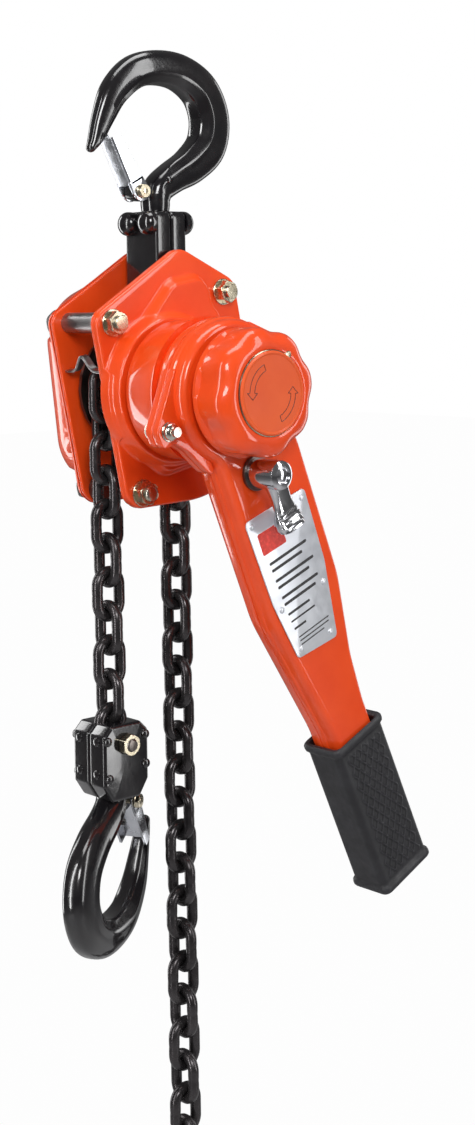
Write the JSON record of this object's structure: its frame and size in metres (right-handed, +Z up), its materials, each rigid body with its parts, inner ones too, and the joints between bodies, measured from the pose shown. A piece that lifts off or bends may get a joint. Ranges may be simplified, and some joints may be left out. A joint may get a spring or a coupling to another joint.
{
  "type": "ratchet lever hoist",
  "caption": "Hand-worked ratchet lever chain hoist with a swivelling top hook, an orange frame and lever, a rubber grip, a load chain with a latched hook and a hanging slack chain.",
  "frame": {"origin": "middle of the top hook's saddle, where the hoist is hung", "axes": "+Z up along the hanging hoist, +Y along the drive axis away from the knob, +X towards the lever's side"},
  "size_m": [0.2096, 0.1496, 0.632],
  "materials": {
    "orange_paint": "glossy orange-red paint",
    "black_paint": "glossy black paint over forged and pressed steel",
    "black_steel": "black oxide, lightly oiled",
    "zinc_plate": "bright zinc plate",
    "yellow_zinc": "yellow zinc plate",
    "bare_steel": "machined",
    "brake_lining": "sintered brown lining",
    "rubber_grip": "cross-hatched black rubber",
    "plate_sign": "satin metal sign"
  },
  "bodies": {
    "hook_root": {"top_hook": "black_paint", "top_latch_bolt": "yellow_zinc"},
    "top_latch": {"top_latch": "zinc_plate", "top_latch_spring": "bare_steel"},
    "yoke": {"yoke_half_left": "black_paint", "yoke_half_right": "black_paint", "yoke_rivet_front": "black_paint", "yoke_rivet_rear": "black_paint", "top_pin": "bare_steel"},
    "frame": {"front_side_plate": "orange_paint", "rear_side_plate": "orange_paint", "brake_cover": "orange_paint", "gear_cover": "orange_paint", "stay_bolt_1": "black_steel", "stay_bolt_2": "black_steel", "stay_bolt_4": "black_steel", "short_bolt_front": "black_steel", "short_bolt_rear": "black_steel", "stay_nut_1": "yellow_zinc", "stay_nut_2": "yellow_zinc", "stay_nut_3": "yellow_zinc", "stay_nut_4": "yellow_zinc", "chain_guide": "bare_steel", "sheave_bearing_front": "bare_steel", "sheave_bearing_rear": "bare_steel"},
    "sheave": {"load_sheave": "black_steel", "load_gear": "bare_steel", "wrapped_chain": "black_steel"},
    "drive": {"drive_shaft": "bare_steel", "friction_hub": "bare_steel", "friction_disc_inner": "brake_lining", "ratchet_wheel": "bare_steel", "friction_disc_outer": "brake_lining", "change_gear": "bare_steel"},
    "disc_gear_upper": {"disc_gear_upper": "bare_steel"},
    "disc_gear_lower": {"disc_gear_lower": "bare_steel"},
    "brake_pawl_1": {"brake_pawl_1": "bare_steel"},
    "brake_pawl_2": {"brake_pawl_2": "bare_steel"},
    "knob": {"freewheel_knob": "orange_paint", "knob_cap": "orange_paint"},
    "lever": {"lever_rear_shell": "orange_paint", "lever_front_shell": "orange_paint", "lever_bolt_left": "yellow_zinc", "lever_bolt_right": "yellow_zinc", "grip": "rubber_grip", "nameplate": "plate_sign"},
    "selector": {"change_lever": "zinc_plate", "change_pawl": "bare_steel"},
    "load_run": {"load_chain": "black_steel", "block_half_front": "black_paint", "block_half_rear": "black_paint", "block_pin": "black_steel", "block_pin_nut": "yellow_zinc"},
    "load_hook": {"load_hook": "black_paint", "load_latch_bolt": "yellow_zinc"},
    "load_latch": {"load_latch": "zinc_plate", "load_latch_spring": "bare_steel"},
    "slack_run": {"slack_chain": "black_steel"},
    "stop_ring": {"stop_ring": "black_steel"}
  },
  "joints": [
    {"name": "top_latch_swing", "type": "hinge", "parent": "hook_root", "child": "top_latch", "pos_m": [-0.0135, 0, -0.059], "axis": [0, 1, 0], "range_deg": [0, 45], "stiffness_Nm_per_rad": 0.05, "springref_deg": -22.92},
    {"name": "top_hook_swivel", "type": "hinge", "parent": "hook_root", "child": "yoke", "pos_m": [0, 0, -0.0885], "axis": [0, 0, 1], "continuous": true},
    {"name": "frame_swing", "type": "hinge", "parent": "yoke", "child": "frame", "pos_m": [0, 0, -0.107], "axis": [0, 1, 0], "range_deg": [-8, 8]},
    {"name": "sheave_spin", "type": "hinge", "parent": "frame", "child": "sheave", "pos_m": [-0.0132, 0, -0.1645], "axis": [0, 1, 0], "range_deg": [0, 45]},
    {"name": "drive_spin", "type": "hinge", "parent": "frame", "child": "drive", "pos_m": [-0.0132, 0, -0.1645], "axis": [0, 1, 0], "range_deg": [0, 210.1]},
    {"name": "upper_disc_gear_spin", "type": "hinge", "parent": "frame", "child": "disc_gear_upper", "pos_m": [-0.01603, 0, -0.13966], "axis": [0, 1, 0], "range_deg": [-90.1, 0]},
    {"name": "lower_disc_gear_spin", "type": "hinge", "parent": "frame", "child": "disc_gear_lower", "pos_m": [-0.01037, 0, -0.18934], "axis": [0, 1, 0], "range_deg": [-90.1, 0]},
    {"name": "brake_pawl_1_lift", "type": "hinge", "parent": "frame", "child": "brake_pawl_1", "pos_m": [-0.04307, 0, -0.15451], "axis": [0, 1, 0], "range_deg": [0, 12], "stiffness_Nm_per_rad": 0.01, "springref_deg": -28.65},
    {"name": "brake_pawl_2_lift", "type": "hinge", "parent": "frame", "child": "brake_pawl_2", "pos_m": [0.01667, 0, -0.1745], "axis": [0, 1, 0], "range_deg": [0, 12], "stiffness_Nm_per_rad": 0.01, "springref_deg": -28.65},
    {"name": "knob_pull", "type": "slide", "parent": "drive", "child": "knob", "axis": [0, -1, 0], "range_m": [0, 0.006], "stiffness_N_per_m": 1500, "springref_m": -0.003},
    {"name": "lever_swing", "type": "hinge", "parent": "frame", "child": "lever", "pos_m": [-0.0132, 0, -0.1645], "axis": [0, 1, 0], "continuous": true},
    {"name": "selector_turn", "type": "hinge", "parent": "lever", "child": "selector", "pos_m": [-0.00227, 0, -0.20626], "axis": [0, 1, 0], "range_deg": [-10, 10]},
    {"name": "load_chain_travel", "type": "slide", "parent": "frame", "child": "load_run", "axis": [0, 0, 1], "range_m": [0, 0.01801]},
    {"name": "slack_chain_travel", "type": "slide", "parent": "frame", "child": "slack_run", "axis": [0, 0, -1], "range_m": [0, 0.01801]},
    {"name": "stop_ring_swing", "type": "hinge", "parent": "slack_run", "child": "stop_ring", "pos_m": [0.0103, 0, -0.5905], "axis": [0, 1, 0], "range_deg": [-60, 60]},
    {"name": "load_hook_swivel", "type": "hinge", "parent": "load_run", "child": "load_hook", "pos_m": [-0.0367, 0, -0.37], "axis": [0, 0, 1], "range_deg": [-10, 120]},
    {"name": "load_latch_swing", "type": "hinge", "parent": "load_hook", "child": "load_latch", "pos_m": [-0.02478, 0.00634, -0.385], "axis": [-0.4695, 0.8829, 0], "range_deg": [0, 45], "stiffness_Nm_per_rad": 0.05, "springref_deg": -22.92}
  ],
  "couplings": [
    {"joint": "drive_spin", "follows": "sheave_spin", "ratio": 4.6667},
    {"joint": "upper_disc_gear_spin", "follows": "sheave_spin", "ratio": -2},
    {"joint": "lower_disc_gear_spin", "follows": "sheave_spin", "ratio": -2},
    {"joint": "load_chain_travel", "follows": "sheave_spin", "m_per_rad": 0.022918},
    {"joint": "slack_chain_travel", "follows": "sheave_spin", "m_per_rad": 0.022918}
  ]
}
